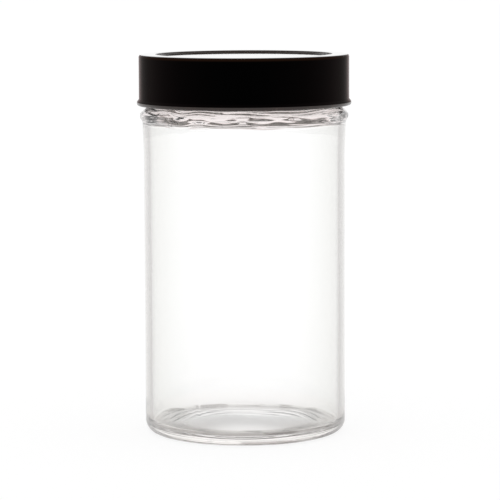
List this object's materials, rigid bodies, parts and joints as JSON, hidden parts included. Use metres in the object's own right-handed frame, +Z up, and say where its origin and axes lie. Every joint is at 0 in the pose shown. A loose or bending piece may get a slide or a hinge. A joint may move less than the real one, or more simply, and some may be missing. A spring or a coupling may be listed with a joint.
{
  "type": "glass storage jar",
  "caption": "Straight-sided clear glass food jar with a deep black metal twist-off lid, a rolled lid edge and a sealing ring.",
  "frame": {"origin": "centre of the jar's base, on the surface that it stands on", "axes": "+Z up along the jar's axis; the picture's camera looks along +Y; +X passes through one of the lid's lugs"},
  "size_m": [0.074, 0.074, 0.1312],
  "materials": {
    "jar_glass": "clear pressed and blown flint glass, slightly wavy, glossy",
    "lid_lacquer": "smooth black lacquer on tinplate, satin to glossy, with a pale lacquer inside",
    "gasket_plastisol": "matt cream plastisol"
  },
  "bodies": {
    "jar": {"jar_body": "jar_glass"},
    "seal": {"lid_gasket": "gasket_plastisol"},
    "lid": {"lid_shell": "lid_lacquer"}
  },
  "joints": [
    {"name": "lid_lift", "type": "slide", "parent": "jar", "child": "seal", "axis": [0, 0, 1], "range_m": [0, 0.08]},
    {"name": "lid_turn", "type": "hinge", "parent": "seal", "child": "lid", "pos_m": [0, 0, 0.1292], "axis": [0, 0, 1], "range_deg": [-55, 0]}
  ]
}
